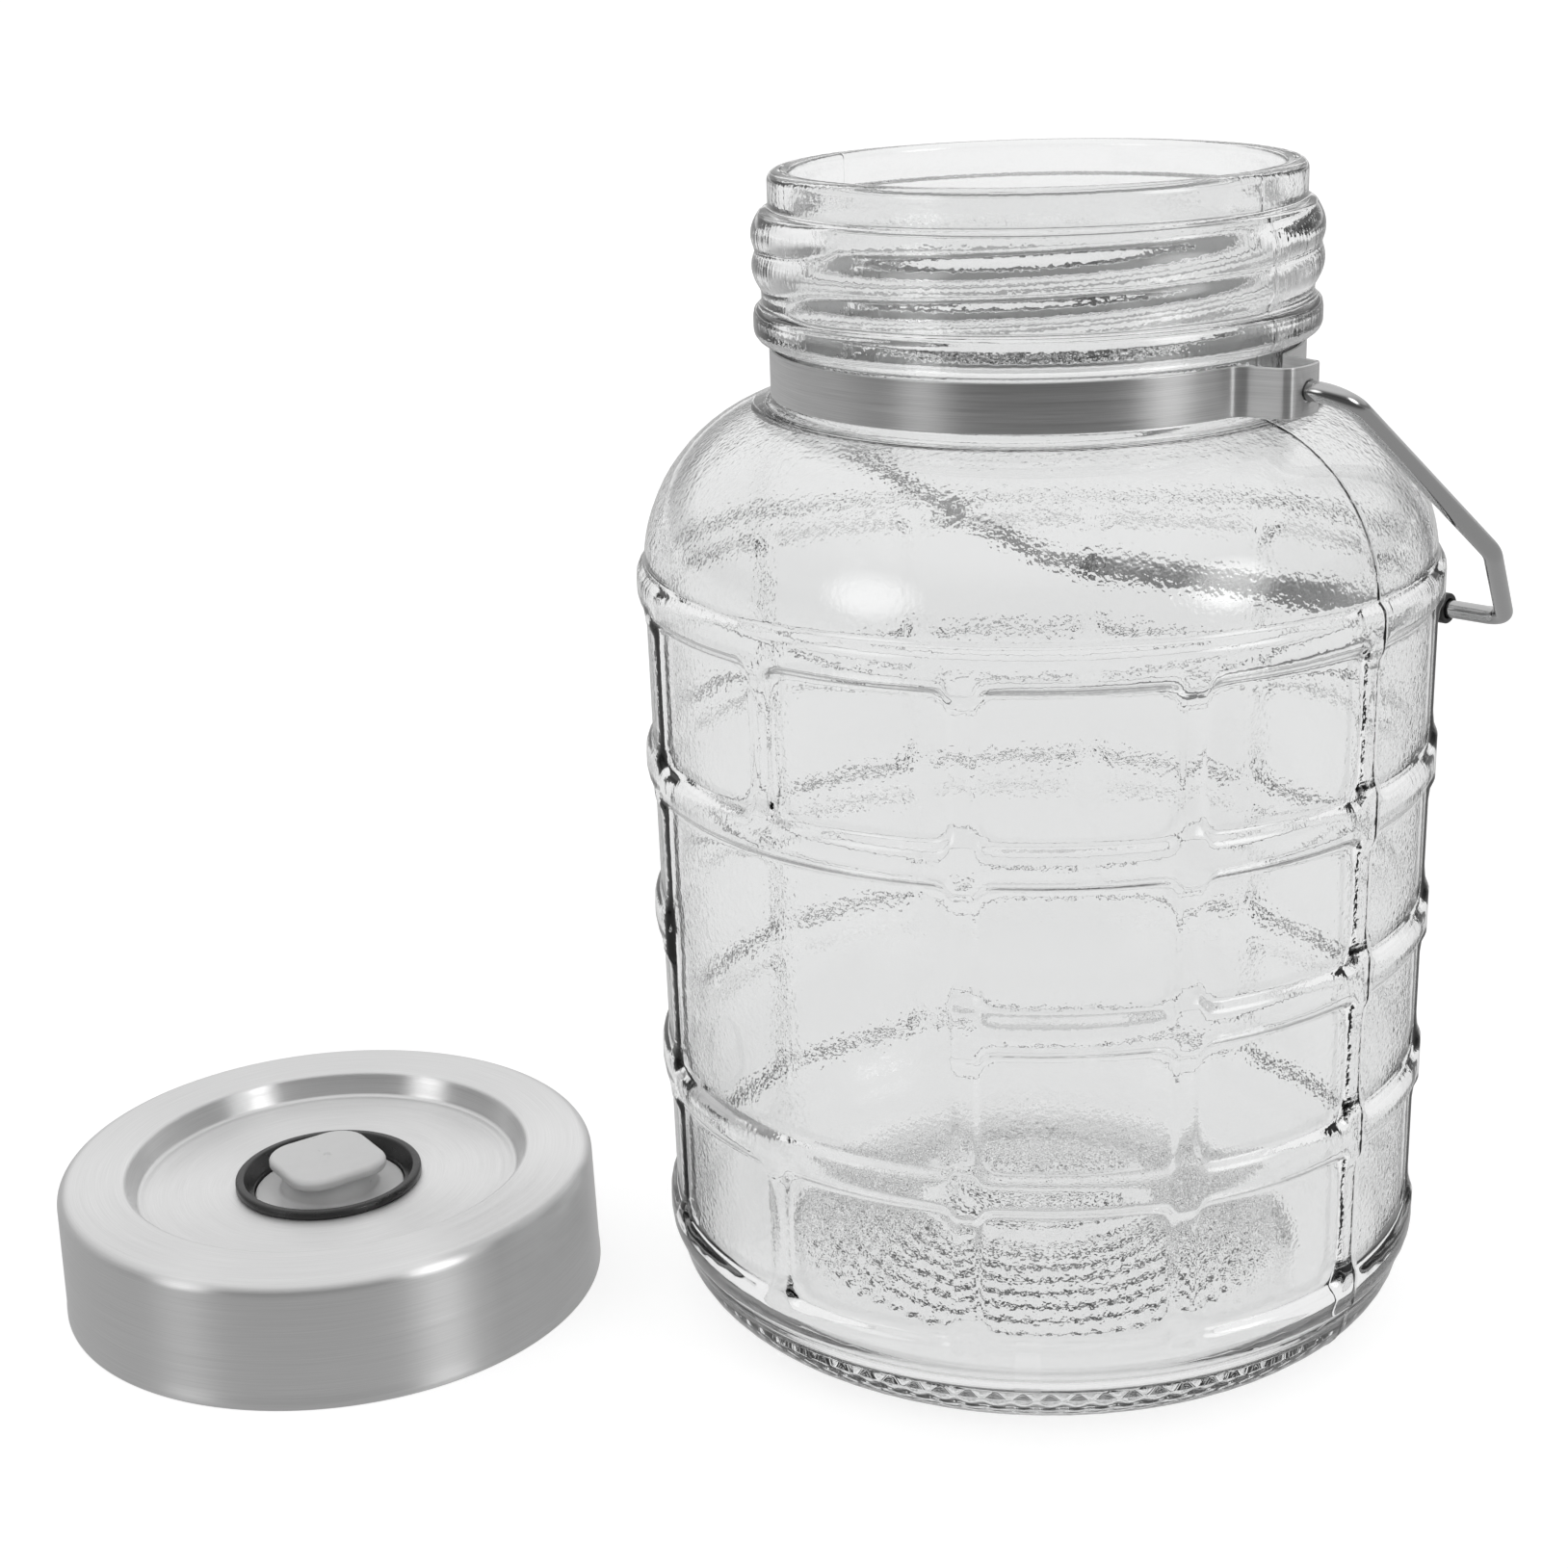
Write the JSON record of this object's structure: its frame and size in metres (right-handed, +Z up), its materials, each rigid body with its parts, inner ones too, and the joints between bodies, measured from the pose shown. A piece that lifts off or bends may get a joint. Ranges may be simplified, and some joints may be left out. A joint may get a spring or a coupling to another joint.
{
  "type": "glass storage jar with bail handle and steel lid",
  "caption": "Large clear glass storage jar with window-pane relief, a swinging wire bail with a tube grip, and its steel screw lid laid beside it.",
  "frame": {"origin": "centre of the jar's base, on the surface it stands on", "axes": "+Z up along the jar's axis; the lid lies on the -X side of the jar; the bail's hinge line bears 37.5 degrees from +X towards -Y"},
  "size_m": [0.3606, 0.214, 0.271],
  "materials": {
    "glass": "clear moulded glass",
    "band_steel": "brushed along the strip",
    "wire_steel": "polished wire",
    "grip_steel": "satin tube",
    "bush_black": "black",
    "lid_steel": "brushed, satin",
    "vent_black": "black",
    "knob_white": "translucent white, soft sheen"
  },
  "bodies": {
    "jar": {"jar_body": "glass", "jar_neck": "glass", "neck_band": "band_steel", "lid_shell": "lid_steel", "vent_ring": "vent_black", "vent_knob": "knob_white"},
    "bail": {"bail_wire": "wire_steel"},
    "grip": {"grip_tube": "grip_steel", "grip_bush_near": "bush_black", "grip_bush_far": "bush_black"}
  },
  "joints": [
    {"name": "bail_swing", "type": "hinge", "parent": "jar", "child": "bail", "pos_m": [0, 0, 0.2264], "axis": [0.7934, -0.6088, 0], "range_deg": [0, 252]},
    {"name": "grip_spin", "type": "hinge", "parent": "bail", "child": "grip", "pos_m": [0.05935, 0.07734, 0.15557], "axis": [0.7934, -0.6088, 0], "continuous": true}
  ]
}
